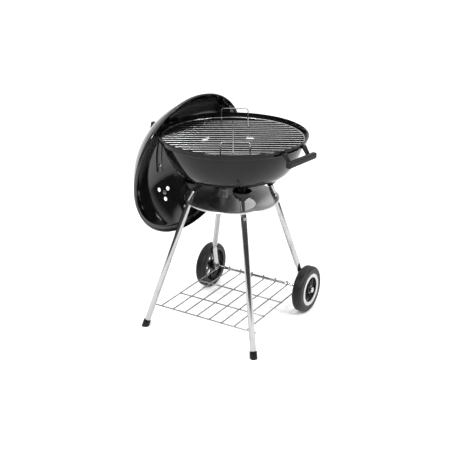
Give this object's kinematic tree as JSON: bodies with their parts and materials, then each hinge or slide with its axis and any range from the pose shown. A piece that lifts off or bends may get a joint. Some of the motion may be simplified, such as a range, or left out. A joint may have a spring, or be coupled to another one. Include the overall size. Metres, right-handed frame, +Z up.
{
  "type": "kettle charcoal grill",
  "caption": "Round enamelled kettle charcoal grill on splayed tube legs with wheels, a wire grid, an ash dish and its domed lid hung on the rim.",
  "frame": {"origin": "on the floor, under the middle of the whole grill with its lid hung on the rim", "axes": "+Z up; +X to the right along the wheels' axle; +Y to the rear, towards the wheels"},
  "size_m": [0.6272, 0.4883, 0.6997],
  "materials": {
    "enamel": "gloss black porcelain enamel",
    "black_steel": "satin black paint",
    "aluminium": "bright rolled sheet",
    "chrome": "polished plate",
    "wire": "plated wire",
    "grate_steel": "plain drawn wire",
    "steel": "zinc plated",
    "handle_plastic": "moulded heat-proof nylon",
    "foot_plastic": "moulded",
    "hub_plastic": "moulded",
    "tyre": "blow moulded, lightly ribbed",
    "trim_white": "moulded"
  },
  "bodies": {
    "stand": {"bowl": "enamel", "bowl_damper_rivet": "steel", "bracket_bolts": "steel", "leg_screws": "steel", "front_left_foot": "foot_plastic", "front_right_foot": "foot_plastic", "ash_catcher": "aluminium", "axle": "chrome", "left_washer": "steel", "right_washer": "steel", "left_axle_cap": "chrome", "right_axle_cap": "chrome", "shelf": "wire", "side_handle_grip": "handle_plastic", "side_handle_front_arm": "black_steel", "side_handle_rear_arm": "black_steel", "lid_rest_front": "handle_plastic", "lid_rest_rear": "handle_plastic", "front_left_bracket": "black_steel", "front_left_upper_leg": "chrome", "front_left_leg": "chrome", "front_right_bracket": "black_steel", "front_right_upper_leg": "chrome", "front_right_leg": "chrome", "rear_left_bracket": "black_steel", "rear_left_upper_leg": "chrome", "rear_left_leg": "chrome", "rear_right_bracket": "black_steel", "rear_right_upper_leg": "chrome", "rear_right_leg": "chrome"},
    "left_wheel": {"left_tyre": "tyre", "left_hub": "hub_plastic", "left_trim_ring": "trim_white"},
    "right_wheel": {"right_tyre": "tyre", "right_hub": "hub_plastic", "right_trim_ring": "trim_white"},
    "lid": {"lid": "enamel", "lid_hook": "black_steel", "lid_handle_grip": "handle_plastic", "lid_handle_upper_arm": "black_steel", "lid_handle_lower_arm": "black_steel", "lid_handle_screws": "steel", "lid_damper_rivet": "steel"},
    "lid_damper": {"lid_damper": "aluminium"},
    "bowl_damper": {"bowl_damper": "aluminium", "bowl_damper_knob": "handle_plastic"},
    "cooking_grid": {"cooking_grid": "wire", "grid_front_handle": "wire", "grid_rear_handle": "wire"},
    "charcoal_grate": {"charcoal_grate": "grate_steel"}
  },
  "joints": [
    {"name": "left_wheel_spin", "type": "hinge", "parent": "stand", "child": "left_wheel", "pos_m": [-0.1291, 0.15183, 0.075], "axis": [1, 0, 0], "continuous": true},
    {"name": "right_wheel_spin", "type": "hinge", "parent": "stand", "child": "right_wheel", "pos_m": [0.2307, 0.15183, 0.075], "axis": [1, 0, 0], "continuous": true},
    {"name": "bowl_damper_turn", "type": "hinge", "parent": "stand", "child": "bowl_damper", "pos_m": [0.05081, -0.01917, 0.459], "axis": [0, 0, 1], "range_deg": [0, 60]},
    {"name": "lid_lift", "type": "slide", "parent": "stand", "child": "lid", "axis": [0, 0, 1], "range_m": [0, 0.25]},
    {"name": "lid_damper_turn", "type": "hinge", "parent": "lid", "child": "lid_damper", "pos_m": [-0.2387, 0.0371, 0.3464], "axis": [-0.9009, 0.1751, -0.3972], "range_deg": [0, 60]},
    {"name": "cooking_grid_lift", "type": "slide", "parent": "stand", "child": "cooking_grid", "axis": [0, 0, 1], "range_m": [0, 0.01]},
    {"name": "charcoal_grate_lift", "type": "slide", "parent": "stand", "child": "charcoal_grate", "axis": [0, 0, 1], "range_m": [0, 0.06]}
  ]
}
